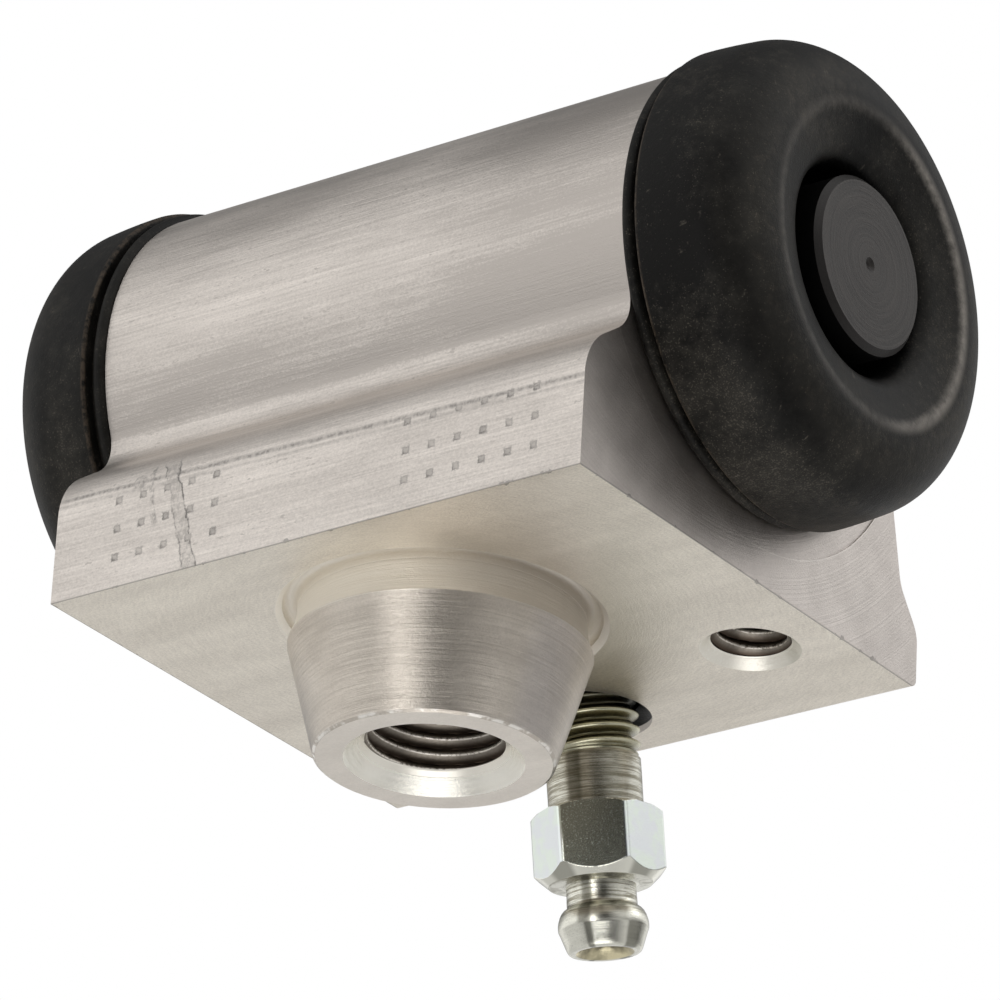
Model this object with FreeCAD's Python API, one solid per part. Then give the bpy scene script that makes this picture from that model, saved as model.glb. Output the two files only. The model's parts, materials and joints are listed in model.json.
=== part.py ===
import FreeCAD, Part
import math
import os

V = FreeCAD.Vector

# Wheel cylinder, millimetres. The origin is the point where the inlet boss's
# axis meets the mounting face, which is the plane z = 0 and faces down. The
# bore runs along X with its middle at x = 0, and places along it are x values.

# Body
body_length = 38.0
bore_axis_y = 3.72
bore_axis_height = 18.15
barrel_radius = 13.85
bore_radius = 9.525
front_side_y = -13.08
front_side_height = 7.7
front_corner_radius = 4.0
shoulder_slope_deg = 36.0
front_valley_radius = 2.4
back_side_y = 21.78
back_side_height = 3.5
back_corner_radius = 2.0
back_bevel_deg = 51.6
back_bevel_rise = 2.45
back_bevel_blend_radius = 2.5
back_wall_lean_deg = 12.6
back_wall_rise = 5.9
back_shoulder_radius = 2.5
back_valley_radius = 1.2
back_lower_edge_radius = 0.5
end_spot_margin = 1.4
end_spot_depth = 0.1

# Boot seat at each end of the bore
boot_seat_wall = 1.65
boot_seat_depth = 2.55
boot_groove_depth = 0.6
boot_groove_width = 1.2

# Inlet boss on the mounting face
boss_height = 9.06
boss_tip_radius = 7.08
boss_base_radius = 9.01
boss_base_height = 2.2
boss_neck_radius = 8.55
boss_recess_radius = 9.84
boss_recess_ledge_radius = 9.45
boss_recess_ledge_depth = 0.3
boss_recess_depth = 0.85
boss_edge_chamfer = 0.15
boss_waist_share = 0.35
boss_waist_swell = 0.03
inlet_thread_radius = 4.46
inlet_countersink_radius = 5.32
inlet_depth = 10.6
inlet_passage_radius = 1.25
drill_point_deg = 118.0

# Tapped mounting holes
screw_spacing = 26.96
screw_hole_y = 12.37
screw_hole_radius = 2.5
screw_hole_depth = 7.6
screw_countersink_radius = 3.04

# Bleeder port and screw, on an axis that leans towards the back
bleeder_y = 15.16
bleeder_lean_deg = 10.6
bleeder_thread_radius = 2.95
bleeder_thread_clearance = 0.05
bleeder_port_countersink = 0.3
bleeder_port_depth = 8.8
bleeder_passage_radius = 1.25
bleeder_break_in_margin = 0.3
bleeder_seat_clearance = 0.05
bleeder_cone_tip_radius = 0.8
bleeder_tip_neck_radius = 2.1
bleeder_tip_neck_length = 1.6
bleeder_thread_end = 2.7
bleeder_shank_radius = 2.87
bleeder_hex_start = 6.29
bleeder_hex_end = 9.92
bleeder_hex_across_flats = 7.0
bleeder_hex_top_chamfer = 0.35
bleeder_hex_top_chamfer_deg = 30.0
bleeder_collar_radius = 3.15
bleeder_collar_end = 10.75
bleeder_hose_neck_radius = 2.12
bleeder_hose_neck_end = 12.35
bleeder_barb_radius = 2.72
bleeder_barb_start = 13.05
bleeder_barb_end = 13.6
bleeder_nipple_radius = 2.35
bleeder_hose_rounding = 0.2
bleeder_length = 14.93
bleeder_bore_radius = 1.1
bleeder_bore_countersink = 1.7
bleeder_bore_point = 0.66
bleeder_cross_hole_radius = 0.7

# Piston
piston_clearance = 0.03
piston_inner_x = 7.0
piston_skirt_length = 10.0
piston_skirt_chamfer = 0.4
piston_nose_radius = 5.45
piston_nose_standout = 7.93
piston_nose_chamfer = 0.36
piston_pip_radius = 0.45
piston_pip_depth = 0.3
lip_groove_depth = 0.85
lip_groove_standout = 0.5
lip_groove_width = 1.6

# Cup seal, expander and return spring
cup_length = 3.6
cup_base_thickness = 1.6
cup_lip_clearance = 0.035
cup_heel_clearance = 0.22
cup_lip_thickness = 1.1
cup_lip_root_thickness = 1.6
cup_root_rounding = 0.4
cup_lip_chamfer = 0.2
cup_lip_land = 0.7
expander_thickness = 0.5
expander_bend_radius = 0.3
expander_clearance = 0.05
expander_rim_gap = 0.39
expander_rim_height = 1.0
expander_hole_radius = 2.6
expander_collar_height = 0.8
spring_wire_radius = 0.45
spring_mean_radius = 4.6
spring_turns = 4.0
spring_end_clearance = 0.05

# Dust boot
boot_clearance = 0.05
boot_neck_thickness = 1.55
boot_rim_width = 0.8
boot_rim_swell = 0.4
boot_rim_groove_width = 0.35
boot_rim_groove_drop = 0.35
boot_lip_overhang = 0.65
boot_lip_rounding = 0.2
boot_wall_overhang = 0.48
boot_wall_swell = 0.03
boot_wall_thickness = 1.3
boot_shoulder_standout = 4.07
boot_shoulder_deg = 8.0
boot_crown_standout = 8.26
boot_crown_inset = 4.33
boot_ridge_roll_radius = 2.0
boot_funnel_deg = 18.0
boot_throat_start_radius = 7.4
boot_throat_roll_radius = 1.5
boot_throat_roll_deg = 84.0
boot_throat_gap = 0.9
boot_throat_flare = 0.4
boot_inner_lip_height = 1.9
boot_inner_lip_taper = 0.9
boot_funnel_bow = 0.13
boot_neck_flare = 0.8

CENTRE_AXIS = V(1, 0, 0)

# How far cutting shapes run past a face, and how closely edges are found
overlap = 1.0
touch = 0.001


def deg(angle):
    return math.radians(angle)


def half_length():
    return body_length / 2


def on_bore_axis(solid):
    solid.translate(V(0, bore_axis_y, bore_axis_height))
    return solid


def barrel_end_x():
    return half_length() - end_spot_depth


def boot_seat_x():
    return barrel_end_x() - boot_seat_depth


def boot_seat_radius():
    return barrel_radius - boot_seat_wall


def boot_groove_radius():
    return boot_seat_radius() + boot_groove_depth


def boot_lip_radius():
    return barrel_radius + boot_lip_overhang


def boot_lip_x():
    return barrel_end_x() + boot_clearance + boot_rim_width + boot_rim_groove_width


def lip_groove_x():
    return barrel_end_x() + lip_groove_standout


def lip_groove_radius():
    return piston_nose_radius - lip_groove_depth


def cup_lip_radius():
    return bore_radius - cup_lip_clearance


# An outline is a list of steps. A step with two numbers is a straight run to
# that point; one with four is an arc through the first point to the second.
def outline_edges(steps):
    edges = []
    here = steps[0]
    for step in steps[1:] + [steps[0]]:
        there = step[-2:]
        if math.dist(here[-2:], there) < 1e-7:
            continue
        start = V(here[-2], here[-1], 0)
        end = V(there[0], there[1], 0)
        if len(step) == 4:
            edges.append(Part.Arc(start, V(step[0], step[1], 0), end).toShape())
        else:
            edges.append(Part.makeLine(start, end))
        here = step
    return edges


def turned_about_x(steps):
    """Turn an outline of (x, radius) points about the bore axis."""
    face = Part.Face(Part.Wire(outline_edges(steps)))
    return on_bore_axis(face.revolve(V(0, 0, 0), CENTRE_AXIS, 360))


def turned_about_z(steps):
    """Turn an outline of (radius, z) points about the Z axis."""
    face = Part.Face(Part.Wire(outline_edges(steps)))
    face.rotate(V(0, 0, 0), V(1, 0, 0), 90)
    return face.revolve(V(0, 0, 0), V(0, 0, 1), 360)


def rounded_corner(before, corner, after, radius):
    """Tangent arc that rounds a corner, as a start point and an arc step."""
    b = V(before[0] - corner[0], before[1] - corner[1], 0).normalize()
    a = V(after[0] - corner[0], after[1] - corner[1], 0).normalize()
    half = b.getAngle(a) / 2
    reach = radius / math.tan(half)
    middle = radius / math.sin(half) - radius
    bisector = (a + b).normalize()
    start = (corner[0] + b.x * reach, corner[1] + b.y * reach)
    mid = (corner[0] + bisector.x * middle, corner[1] + bisector.y * middle)
    end = (corner[0] + a.x * reach, corner[1] + a.y * reach)
    return [start, mid + end]


def rounded_outline(corners):
    """Closed outline from (y, z, radius) corners."""
    steps = []
    count = len(corners)
    for i, (y, z, radius) in enumerate(corners):
        if radius == 0:
            steps.append((y, z))
        else:
            before = corners[i - 1]
            after = corners[(i + 1) % count]
            steps += rounded_corner(before, (y, z), after, radius)
    return steps


# The block's section under the barrel. Both shoulders run on into the barrel.
def block_corners():
    slope = math.tan(deg(shoulder_slope_deg))
    bevel_run = back_bevel_rise / math.tan(deg(back_bevel_deg))
    bevel_y = back_side_y - bevel_run
    bevel_z = back_side_height + back_bevel_rise
    wall_y = bevel_y - back_wall_rise * math.tan(deg(back_wall_lean_deg))
    wall_z = bevel_z + back_wall_rise
    front_y = bore_axis_y - barrel_radius / 2
    back_y = bore_axis_y + barrel_radius / 2
    front_z = front_side_height + (front_y - front_side_y) * slope
    back_z = wall_z + (wall_y - back_y) * slope
    return [
        (front_side_y, 0, 0),
        (back_side_y, 0, back_lower_edge_radius),
        (back_side_y, back_side_height, back_corner_radius),
        (bevel_y, bevel_z, back_bevel_blend_radius),
        (wall_y, wall_z, back_shoulder_radius),
        (back_y, back_z, 0),
        (front_y, front_z, 0),
        (front_side_y, front_side_height, front_corner_radius),
    ]


def extruded_block():
    face = Part.Face(Part.Wire(outline_edges(rounded_outline(block_corners()))))
    face.rotate(V(0, 0, 0), V(1, 1, 1), 120)
    block = face.extrude(V(body_length, 0, 0))
    block.translate(V(-half_length(), 0, 0))
    return block


def barrel():
    cylinder = Part.makeCylinder(barrel_radius, body_length, V(-half_length(), 0, 0), CENTRE_AXIS)
    return on_bore_axis(cylinder)


def is_valley(edge, side):
    """A straight edge along X that lies on the barrel, on one side of it."""
    first, last = edge.Vertexes[0].Point, edge.Vertexes[-1].Point
    along_x = abs(first.x - last.x) > half_length()
    flat = abs(first.y - last.y) < touch and abs(first.z - last.z) < touch
    across = first.y - bore_axis_y
    reach = math.hypot(across, first.z - bore_axis_height)
    below = first.z < bore_axis_height
    return along_x and flat and below and abs(reach - barrel_radius) < touch and across * side > 0


def with_valleys(solid):
    for side, radius in ((-1, front_valley_radius), (1, back_valley_radius)):
        edges = [edge for edge in solid.Edges if is_valley(edge, side)]
        solid = solid.makeFillet(radius, edges)
    return solid


def drilled_hole(radius, depth, countersink_radius):
    """Blind hole from z = 0 upwards, with a 45 degree mouth and a drill point."""
    mouth = countersink_radius - radius
    point = radius / math.tan(deg(drill_point_deg / 2))
    steps = [(0, -overlap), (countersink_radius, -overlap), (countersink_radius, 0)]
    steps += [(radius, mouth), (radius, depth), (0, depth + point)]
    return turned_about_z(steps)


def boss_and_recess():
    """The boss's solid and the ring that is cut from the face around it."""
    groove_mid = (boss_recess_ledge_radius + boss_neck_radius) / 2
    ring = turned_about_z([
        (boss_neck_radius, -overlap),
        (boss_recess_radius, -overlap),
        (boss_recess_radius, 0),
        (boss_recess_ledge_radius, boss_recess_ledge_depth),
        (groove_mid, boss_recess_depth, boss_neck_radius, boss_recess_ledge_depth),
    ])
    waist_z = -boss_base_height * boss_waist_share
    cone_slope = (boss_base_radius - boss_tip_radius) / (boss_height - boss_base_height)
    chamfer_r = boss_tip_radius + boss_edge_chamfer * cone_slope
    boss = turned_about_z([
        (0, boss_recess_ledge_depth),
        (boss_neck_radius, boss_recess_ledge_depth),
        (boss_neck_radius + boss_waist_swell, waist_z, boss_base_radius, -boss_base_height),
        (chamfer_r, -boss_height + boss_edge_chamfer),
        (boss_tip_radius - boss_edge_chamfer, -boss_height),
        (0, -boss_height),
    ])
    return boss, ring


def inlet_drilling():
    hole = drilled_hole(inlet_thread_radius, inlet_depth, inlet_countersink_radius)
    hole.translate(V(0, 0, -boss_height))
    bore_floor = bore_axis_height - math.sqrt(bore_radius ** 2 - bore_axis_y ** 2)
    return hole.fuse(Part.makeCylinder(inlet_passage_radius, bore_floor))


def on_bleeder_axis(solid):
    """Place a solid made about Z, outward end at -z, on the bleeder's axis."""
    solid.rotate(V(0, 0, 0), V(1, 0, 0), bleeder_lean_deg)
    solid.translate(V(0, bleeder_y, 0))
    return solid


# The passage is drilled on until all of it has broken into the bore.
def bleeder_break_in():
    lean = deg(bleeder_lean_deg)
    off_y = bleeder_y - bore_axis_y
    across = off_y * math.cos(lean) - bore_axis_height * math.sin(lean)
    along = off_y * math.sin(lean) + bore_axis_height * math.cos(lean)
    far_edge = min(across + bleeder_passage_radius, bore_radius)
    return along - math.sqrt(bore_radius ** 2 - far_edge ** 2) + bleeder_break_in_margin


def bleeder_port_radius():
    return bleeder_thread_radius + bleeder_thread_clearance


def bleeder_drilling():
    radius = bleeder_port_radius()
    mouth = radius + bleeder_port_countersink
    seat_start = bleeder_port_depth
    seat_end = seat_start + radius - bleeder_passage_radius
    deep = bleeder_break_in()
    steps = [(0, -overlap), (mouth + overlap, -overlap), (radius, bleeder_port_countersink)]
    steps += [(radius, seat_start), (bleeder_passage_radius, seat_end)]
    steps += [(bleeder_passage_radius, deep), (0, deep)]
    return on_bleeder_axis(turned_about_z(steps))


def bore_and_seats():
    end = half_length() + overlap
    seat_x = boot_seat_x()
    groove_x = seat_x + boot_groove_width
    seat, groove = boot_seat_radius(), boot_groove_radius()
    half = [(0, bore_radius), (seat_x, bore_radius), (seat_x, groove)]
    half += [(groove_x, groove), (groove_x, seat), (end, seat)]
    other = [(-x, radius) for x, radius in reversed(half)]
    return turned_about_x([(end, 0), (-end, 0)] + other[:-1] + half[1:])


def end_spot(side):
    start = V(side * barrel_end_x(), 0, 0)
    radius = boot_lip_radius() + end_spot_margin
    return on_bore_axis(Part.makeCylinder(radius, end_spot_depth + overlap, start, CENTRE_AXIS * side))


def cylinder_body():
    solid = with_valleys(extruded_block().fuse(barrel()).removeSplitter())
    boss, ring = boss_and_recess()
    solid = solid.cut(ring).fuse(boss).removeSplitter()
    cuts = [bore_and_seats(), inlet_drilling(), bleeder_drilling()]
    cuts += [end_spot(-1), end_spot(1)]
    for side in (-1, 1):
        hole = drilled_hole(screw_hole_radius, screw_hole_depth, screw_countersink_radius)
        hole.translate(V(side * screw_spacing / 2, screw_hole_y, 0))
        cuts.append(hole)
    for cut in cuts:
        solid = solid.cut(cut)
    return solid.removeSplitter()


def piston():
    """The right-hand piston, with its seal face inwards and its nose outwards."""
    skirt = bore_radius - piston_clearance
    skirt_end = piston_inner_x + piston_skirt_length
    groove_start = lip_groove_x()
    groove_end = groove_start + lip_groove_width
    nose = piston_nose_radius
    nose_x = barrel_end_x() + piston_nose_standout
    steps = [(piston_inner_x, 0), (piston_inner_x, skirt - piston_skirt_chamfer)]
    steps += [(piston_inner_x + piston_skirt_chamfer, skirt)]
    steps += [(skirt_end - piston_skirt_chamfer, skirt)]
    steps += [(skirt_end, skirt - piston_skirt_chamfer), (skirt_end, nose)]
    steps += [(groove_start, nose), (groove_start, lip_groove_radius())]
    steps += [(groove_end, lip_groove_radius()), (groove_end, nose)]
    steps += [(nose_x - piston_nose_chamfer, nose)]
    steps += [(nose_x, nose - piston_nose_chamfer)]
    steps += [(nose_x, piston_pip_radius), (nose_x - piston_pip_depth, 0)]
    return turned_about_x(steps)


def cup_seal():
    """Lipped rubber cup. Its open side faces the middle of the bore."""
    base = piston_inner_x
    mouth = base - cup_length
    floor = base - cup_base_thickness
    lip = cup_lip_radius()
    heel = bore_radius - cup_heel_clearance
    root = (floor, lip - cup_lip_root_thickness)
    edge = (mouth, lip - cup_lip_thickness)
    steps = [(base, 0), (floor, 0)]
    steps += rounded_corner((floor, 0), root, edge, cup_root_rounding)
    steps += [edge, (mouth, lip - cup_lip_chamfer), (mouth + cup_lip_chamfer, lip)]
    steps += [(mouth + cup_lip_chamfer + cup_lip_land, lip)]
    steps += [(floor, heel), (base, heel)]
    return turned_about_x(steps)


def expander_face_x():
    """Where the expander bears on the floor of the cup."""
    return piston_inner_x - cup_base_thickness - expander_clearance


def cup_expander():
    """Pressed washer: a rim that holds the cup's lip out and a collar for the spring."""
    back = expander_face_x()
    front = back - expander_thickness
    rim = cup_lip_radius() - cup_lip_root_thickness - expander_rim_gap
    rim_x = front - expander_rim_height
    hole = expander_hole_radius
    collar = hole + expander_thickness
    collar_x = front - expander_collar_height
    steps = rounded_corner((back, hole), (back, rim), (rim_x, rim), expander_bend_radius)
    steps += [(rim_x, rim), (rim_x, rim - expander_thickness)]
    steps += [(front, rim - expander_thickness), (front, collar)]
    steps += [(collar_x, collar), (collar_x, hole)]
    steps += rounded_corner((collar_x, hole), (back, hole), (back, rim), expander_bend_radius)
    return turned_about_x(steps)


def return_spring():
    reach = expander_face_x() - expander_thickness - spring_end_clearance
    length = 2 * (reach - spring_wire_radius)
    helix = Part.makeHelix(length / spring_turns, length, spring_mean_radius)
    section = Part.makeCircle(spring_wire_radius, V(spring_mean_radius, 0, 0), V(0, 1, 0))
    coil = Part.Wire(helix).makePipeShell([Part.Wire(section)], True, True)
    coil.rotate(V(0, 0, 0), V(0, 1, 0), 90)
    coil.translate(V(-length / 2, 0, 0))
    return on_bore_axis(coil)


def ellipse_points(centre, half_x, half_r, angle_deg):
    return (centre[0] + half_x * math.sin(deg(angle_deg)), centre[1] + half_r * math.cos(deg(angle_deg)))


def crown_centre():
    """Centre of the crown's ellipse, under the shoulder of the wall."""
    return barrel_end_x() + boot_shoulder_standout, barrel_radius + boot_wall_overhang - boot_crown_inset


# The crown's section is part of an ellipse, drawn as three arcs on its points.
def crown_steps(half_x, half_r, start_deg, end_deg):
    angles = [start_deg + (end_deg - start_deg) * i / 6 for i in range(1, 7)]
    points = [ellipse_points(crown_centre(), half_x, half_r, angle) for angle in angles]
    return [points[i] + points[i + 1] for i in range(0, len(points), 2)]


def rolled_on(start, radius, first_deg, angle_deg):
    """Point on a roll of the skin that began at start, where it leaned first_deg."""
    back = math.cos(deg(first_deg)) - math.cos(deg(angle_deg))
    inwards = math.sin(deg(angle_deg)) - math.sin(deg(first_deg))
    return start[0] - radius * back, start[1] - radius * inwards


def funnel_steps():
    """From the crown's ridge down a shallow cone and round into the throat."""
    ridge = (barrel_end_x() + boot_crown_standout, crown_centre()[1])
    lean, steep = boot_funnel_deg, boot_throat_roll_deg
    ridge_roll, throat_roll = boot_ridge_roll_radius, boot_throat_roll_radius
    cone_start = rolled_on(ridge, ridge_roll, 0, lean)
    drop = (cone_start[1] - boot_throat_start_radius) * math.tan(deg(lean))
    cone_end = (cone_start[0] - drop, boot_throat_start_radius)
    throat_mid = rolled_on(cone_end, throat_roll, lean, (lean + steep) / 2)
    throat_end = rolled_on(cone_end, throat_roll, lean, steep)
    return [rolled_on(ridge, ridge_roll, 0, lean / 2) + cone_start, cone_end, throat_mid + throat_end]


def boot_outside():
    """Bead and neck in the body, rim against its end, groove, wall and crown."""
    gap = boot_clearance
    bead_x = boot_seat_x() + gap
    bead_end = boot_seat_x() + boot_groove_width - gap
    bead = boot_groove_radius() - gap
    neck = boot_seat_radius() - gap
    rim_x = barrel_end_x() + gap
    rim_end = rim_x + boot_rim_width
    lip_x, lip = boot_lip_x(), boot_lip_radius()
    groove = barrel_radius - boot_rim_groove_drop
    roll = boot_lip_rounding
    half_x = boot_crown_standout - boot_shoulder_standout
    shoulder = ellipse_points(crown_centre(), half_x, boot_crown_inset, boot_shoulder_deg)
    mid_x = (lip_x + roll + shoulder[0]) / 2
    steps = [(bead_x, neck - boot_neck_thickness), (bead_x, bead), (bead_end, bead), (bead_end, neck)]
    steps += [(rim_x, neck), (rim_x, barrel_radius)]
    steps += [(rim_x + boot_rim_width / 2, barrel_radius + boot_rim_swell, rim_end, barrel_radius)]
    steps += [(rim_end, groove), (lip_x, groove)]
    steps += rounded_corner((lip_x, groove), (lip_x, lip), (mid_x, lip), roll)
    steps += [(mid_x, (lip + shoulder[1]) / 2 + boot_wall_swell) + shoulder]
    return steps + crown_steps(half_x, boot_crown_inset, boot_shoulder_deg, 90)


def boot_inside(throat_end):
    """Lip in the piston's groove, then the inner skin back to the neck."""
    gap = boot_clearance
    wall = boot_wall_thickness
    groove_start = lip_groove_x() + gap
    groove_end = lip_groove_x() + lip_groove_width - gap
    floor = lip_groove_radius() + gap
    throat = piston_nose_radius + boot_throat_gap
    half_x = boot_crown_standout - boot_shoulder_standout - wall
    half_r = boot_crown_inset - wall
    top = ellipse_points(crown_centre(), half_x, half_r, 90)
    low = (throat_end[0], throat_end[1] + wall)
    neck = boot_seat_radius() - gap - boot_neck_thickness
    steps = [(groove_end + boot_throat_flare, throat), (groove_end, throat - boot_throat_flare)]
    steps += [(groove_end, floor), (groove_start, floor), (groove_start, floor + boot_inner_lip_height)]
    steps += [(groove_start + boot_inner_lip_taper, throat + wall), low]
    steps += [(top[0] - boot_funnel_bow, (top[1] + low[1]) / 2) + top]
    steps += crown_steps(half_x, half_r, 90, 0)
    shoulder_r = crown_centre()[1] + half_r
    steps += [(boot_lip_x() + wall + boot_throat_flare, shoulder_r)]
    return steps + [(boot_lip_x() + wall, neck + boot_neck_flare), (boot_lip_x(), neck)]


def dust_boot():
    """Rubber boot: bead in the body, bulging wall, rolled crown, lip on the piston."""
    funnel = funnel_steps()
    throat_end = funnel[-1][-2:]
    return turned_about_x(boot_outside() + funnel + boot_inside(throat_end))


def bleeder_hexagon():
    corner = bleeder_hex_across_flats / math.sqrt(3)
    points = []
    for i in range(7):
        angle = deg(30 + 60 * i)
        points.append(V(corner * math.cos(angle), corner * math.sin(angle), 0))
    start, end = -bleeder_hex_start, -bleeder_hex_end
    hexagon = Part.Face(Part.makePolygon(points)).extrude(V(0, 0, -bleeder_collar_end - start))
    hexagon.translate(V(0, 0, start))
    drop = bleeder_hex_top_chamfer * math.tan(deg(bleeder_hex_top_chamfer_deg))
    steps = [(0, start), (corner - bleeder_hex_top_chamfer, start), (corner, start - drop)]
    steps += [(corner, end), (bleeder_collar_radius, -bleeder_collar_end), (0, -bleeder_collar_end)]
    return hexagon.common(turned_about_z(steps))


def bleeder_screw():
    thread, shank = bleeder_thread_radius, bleeder_shank_radius
    neck, barb = bleeder_hose_neck_radius, bleeder_barb_radius
    seat_sum = bleeder_port_depth + bleeder_port_radius() - bleeder_seat_clearance * math.sqrt(2)
    cone_top = seat_sum - bleeder_cone_tip_radius
    cone_base = seat_sum - bleeder_tip_neck_radius
    thread_top = cone_base - bleeder_tip_neck_length
    flare = thread - bleeder_tip_neck_radius
    thread_end = -bleeder_thread_end
    inside_hex = -(bleeder_hex_start + bleeder_hex_end) / 2
    steps = [(0, cone_top), (bleeder_cone_tip_radius, cone_top)]
    steps += [(bleeder_tip_neck_radius, cone_base), (bleeder_tip_neck_radius, thread_top)]
    steps += [(thread, thread_top - flare), (thread, thread_end)]
    steps += [(shank, thread_end - thread + shank), (shank, inside_hex), (0, inside_hex)]
    head = turned_about_z(steps)
    roll = bleeder_hose_rounding
    hose_end = (neck, -bleeder_hose_neck_end)
    barb_start = (barb, -bleeder_barb_start)
    tip = (bleeder_nipple_radius, -bleeder_length)
    hose_steps = [(0, inside_hex), (neck, inside_hex)]
    hose_steps += rounded_corner((neck, inside_hex), hose_end, barb_start, roll)
    hose_steps += rounded_corner(hose_end, barb_start, (barb, -bleeder_barb_end), roll)
    hose_steps += [(barb, -bleeder_barb_end)]
    hose_steps += rounded_corner((barb, -bleeder_barb_end), tip, (0, -bleeder_length), roll)
    hose = turned_about_z(hose_steps + [(0, -bleeder_length)])
    screw = head.fuse(bleeder_hexagon()).fuse(hose).removeSplitter()
    cross_z = thread_top + bleeder_tip_neck_length / 2
    mouth = bleeder_bore_countersink - bleeder_bore_radius
    bore = turned_about_z([
        (0, -bleeder_length - overlap),
        (bleeder_bore_countersink, -bleeder_length - overlap),
        (bleeder_bore_countersink, -bleeder_length),
        (bleeder_bore_radius, -bleeder_length + mouth),
        (bleeder_bore_radius, cross_z),
        (0, cross_z + bleeder_bore_point),
    ])
    cross = Part.makeCylinder(bleeder_cross_hole_radius, 2 * thread, V(-thread, 0, cross_z), CENTRE_AXIS)
    return on_bleeder_axis(screw.cut(bore).cut(cross))


def mirrored(solid):
    return solid.mirror(V(0, 0, 0), CENTRE_AXIS)


def write_part(name, solid):
    solids = solid.Solids
    print(f"{name}: {len(solids)} solid, {solid.Volume:.1f} mm3, valid {solid.isValid()}")
    shape = solids[0] if len(solids) == 1 else solid
    shape.exportStep(f"parts/{name}.step")


def main():
    os.makedirs("parts", exist_ok=True)
    write_part("cylinder_body", cylinder_body())
    write_part("return_spring", return_spring())
    write_part("bleeder_screw", bleeder_screw())
    pairs = {"piston": piston, "cup_seal": cup_seal, "cup_expander": cup_expander, "dust_boot": dust_boot}
    for name, make in pairs.items():
        solid = make()
        write_part(f"right_{name}", solid)
        write_part(f"left_{name}", mirrored(solid))


main()
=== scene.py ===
import bpy
import json
import math
import numpy as np
from mathutils import Matrix, Vector


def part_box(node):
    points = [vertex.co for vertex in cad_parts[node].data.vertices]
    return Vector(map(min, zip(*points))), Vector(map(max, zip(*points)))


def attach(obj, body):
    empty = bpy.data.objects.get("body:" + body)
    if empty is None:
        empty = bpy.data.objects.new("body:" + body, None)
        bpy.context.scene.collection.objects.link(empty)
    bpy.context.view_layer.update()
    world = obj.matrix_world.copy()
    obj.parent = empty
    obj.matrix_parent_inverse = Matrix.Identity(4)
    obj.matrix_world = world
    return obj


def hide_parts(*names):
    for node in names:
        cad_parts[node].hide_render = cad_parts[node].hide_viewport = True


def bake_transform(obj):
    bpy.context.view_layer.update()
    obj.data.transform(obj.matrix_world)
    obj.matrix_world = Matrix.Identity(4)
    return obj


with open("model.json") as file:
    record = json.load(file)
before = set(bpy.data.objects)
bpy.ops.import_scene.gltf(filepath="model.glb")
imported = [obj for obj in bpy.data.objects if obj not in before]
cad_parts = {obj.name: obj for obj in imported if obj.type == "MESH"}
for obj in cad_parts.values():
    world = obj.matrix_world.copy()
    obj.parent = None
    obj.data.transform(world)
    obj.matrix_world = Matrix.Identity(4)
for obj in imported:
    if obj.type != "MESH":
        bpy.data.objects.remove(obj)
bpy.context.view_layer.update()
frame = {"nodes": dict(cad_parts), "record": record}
nodes = frame["nodes"]
mm = 0.001
turn = 2 * math.pi
print("frame loaded:", len(nodes), "nodes")

# where things are on the body, read from the frame
noseLow, noseHigh = (np.array(corner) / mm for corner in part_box("right_piston"))
boreY = (noseLow[1] + noseHigh[1]) / 2
boreZ = (noseLow[2] + noseHigh[2]) / 2
joints = {joint["name"]: joint for joint in frame["record"]["behaviour"]["joints"]}
screws = next(m for m in frame["record"]["mounts"] if m["name"] == "mounting_screws")
screwY = screws["pos_m"][1] / mm
screwX = screws["dims"]["spacing_x_mm"] / 2


# camera, worked out from the photograph's edges and circles
def addCamera():
    shot = dict(aim=(0.0026, 0.0015, 0.0078), distance=0.41361, azimuth=36.92, elevation=-25.68,
                roll=3.22, focalPixels=7000.6, imagePixels=1000)
    azimuth, elevation, roll = (math.radians(shot[key]) for key in ("azimuth", "elevation", "roll"))
    ahead = Vector((-math.sin(azimuth) * math.cos(elevation), math.cos(azimuth) * math.cos(elevation),
                    -math.sin(elevation)))
    level = Vector((math.cos(azimuth), math.sin(azimuth), 0))
    upright = level.cross(ahead)
    right = level * math.cos(roll) + upright * math.sin(roll)
    up = upright * math.cos(roll) - level * math.sin(roll)
    data = bpy.data.cameras.new("camera")
    data.sensor_width = 36
    data.lens = data.sensor_width * shot["focalPixels"] / shot["imagePixels"]
    data.clip_start = 0.01
    data.clip_end = 20
    camera = bpy.data.objects.new("camera", data)
    bpy.context.collection.objects.link(camera)
    turned = Matrix((right, up, -ahead)).transposed().to_4x4()
    camera.matrix_world = Matrix.Translation(Vector(shot["aim"]) - ahead * shot["distance"]) @ turned
    bpy.context.scene.camera = camera


# node trees

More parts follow.
